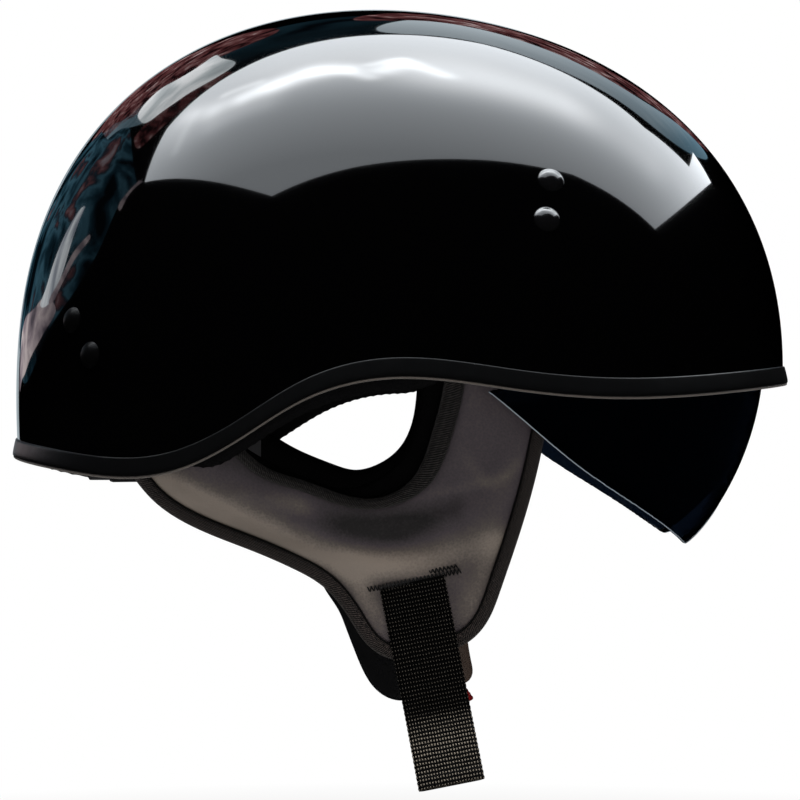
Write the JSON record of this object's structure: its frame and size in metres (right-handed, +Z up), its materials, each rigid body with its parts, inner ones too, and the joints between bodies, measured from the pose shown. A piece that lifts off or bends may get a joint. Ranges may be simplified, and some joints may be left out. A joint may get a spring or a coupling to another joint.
{
  "type": "half shell motorcycle helmet",
  "caption": "Open half shell riding helmet with a rubber-trimmed hard shell, drop-down sun visor, soft ear panels, chin strap with D rings, padded liner and a rear dial fit.",
  "frame": {"origin": "centre of the head cavity, level with the rim line, on the mid-plane", "axes": "+X forward to the visor, +Y to the wearer's left, +Z up to the crown"},
  "size_m": [0.277, 0.229, 0.2652],
  "materials": {
    "shell_gloss": "high gloss black",
    "trim_rubber": "semi-gloss black rubber",
    "liner_foam": "black bead foam",
    "comfort_fabric": "brushed black knit",
    "moulded_black": "fine moulded texture",
    "fit_band_plastic": "satin nylon",
    "dial_plastic": "satin",
    "washer_nylon": "nylon",
    "screw_steel": "black zinc",
    "smoke_lens": "dark smoke polycarbonate, clear and glossy",
    "rivet_steel": "gloss black",
    "plate_steel": "zinc plated",
    "panel_leather": "soft grained imitation leather",
    "panel_fabric": "fleece",
    "knit_binding": "ribbed knit",
    "webbing": "woven webbing",
    "ring_steel": "plated wire",
    "red_webbing": "red woven tape"
  },
  "bodies": {
    "root": {"outer_shell": "shell_gloss", "edge_trim": "trim_rubber", "impact_liner": "liner_foam", "crown_pad": "comfort_fabric", "brow_pad": "comfort_fabric", "side_pad_left": "comfort_fabric", "side_pad_right": "comfort_fabric", "rear_pad": "comfort_fabric", "liner_skirt_left": "comfort_fabric", "liner_skirt_right": "comfort_fabric", "liner_skirt_rear": "comfort_fabric", "pivot_bracket_left": "moulded_black", "pivot_bracket_right": "moulded_black", "adjuster_housing": "moulded_black", "adjuster_cover": "moulded_black", "band_guide_left": "moulded_black", "band_guide_right": "moulded_black", "pivot_washer_left": "washer_nylon", "pivot_washer_right": "washer_nylon", "pivot_screw_left": "screw_steel", "pivot_screw_right": "screw_steel", "rivets_front": "rivet_steel", "rivets_rear": "rivet_steel", "anchor_plate_front_left": "plate_steel", "anchor_plate_front_right": "plate_steel", "anchor_plate_rear_left": "plate_steel", "anchor_plate_rear_right": "plate_steel", "ear_panel_left": "panel_leather", "ear_panel_right": "panel_leather", "guard_anchor": "panel_leather", "panel_lining_left": "panel_fabric", "panel_lining_right": "panel_fabric", "panel_binding_left": "knit_binding", "panel_binding_right": "knit_binding", "opening_binding_left": "knit_binding", "opening_binding_right": "knit_binding", "strap_anchor_left": "webbing", "strap_anchor_right": "webbing"},
    "visor": {"sun_visor": "smoke_lens", "visor_lever": "moulded_black"},
    "dial": {"dial_knob": "dial_plastic", "dial_pinion": "dial_plastic"},
    "band_left": {"fit_band_left": "fit_band_plastic"},
    "band_right": {"fit_band_right": "fit_band_plastic"},
    "strap_right": {"chin_strap_right": "webbing"},
    "strap_left": {"chin_strap_left": "webbing", "chin_guard": "panel_leather"},
    "ring_inner": {"d_ring_inner": "ring_steel"},
    "ring_outer": {"d_ring_outer": "ring_steel"},
    "tab": {"pull_tab": "red_webbing"}
  },
  "joints": [
    {"name": "visor_pivot", "type": "hinge", "parent": "root", "child": "visor", "pos_m": [0.0257, 0, 0.0185], "axis": [0, -1, 0], "range_deg": [0, 40]},
    {"name": "dial_turn", "type": "hinge", "parent": "root", "child": "dial", "pos_m": [-0.1, 0, -0.016], "axis": [1, 0, 0], "range_deg": [0, 150]},
    {"name": "band_left_draw", "type": "hinge", "parent": "root", "child": "band_left", "pos_m": [-0.018, 0, -0.016], "axis": [0, 0, 1], "range_deg": [0, 8.36]},
    {"name": "band_right_draw", "type": "hinge", "parent": "root", "child": "band_right", "pos_m": [-0.018, 0, -0.016], "axis": [0, 0, -1], "range_deg": [0, 8.17]},
    {"name": "strap_right_swing", "type": "hinge", "parent": "root", "child": "strap_right", "pos_m": [0.00864, -0.08899, -0.08272], "axis": [0.981, 0, 0.1942], "range_deg": [-40, 60]},
    {"name": "strap_left_swing", "type": "hinge", "parent": "root", "child": "strap_left", "pos_m": [0.00864, 0.08899, -0.08272], "axis": [-0.981, 0, -0.1942], "range_deg": [-40, 35]},
    {"name": "ring_outer_swing", "type": "hinge", "parent": "strap_left", "child": "ring_outer", "pos_m": [0.01175, 0.09179, -0.09842], "axis": [0.981, 0, 0.1942], "range_deg": [0, 100]},
    {"name": "ring_inner_swing", "type": "hinge", "parent": "strap_left", "child": "ring_inner", "pos_m": [0.01175, 0.08619, -0.09842], "axis": [0.981, 0, 0.1942], "range_deg": [-4, 3]},
    {"name": "tab_swing", "type": "hinge", "parent": "ring_outer", "child": "tab", "pos_m": [0.02037, 0.09179, -0.11345], "axis": [0.8172, 0, 0.5764], "range_deg": [-25, 60]}
  ],
  "couplings": [
    {"joint": "band_left_draw", "follows": "dial_turn", "ratio": 0.055693},
    {"joint": "band_right_draw", "follows": "dial_turn", "ratio": 0.054414}
  ]
}
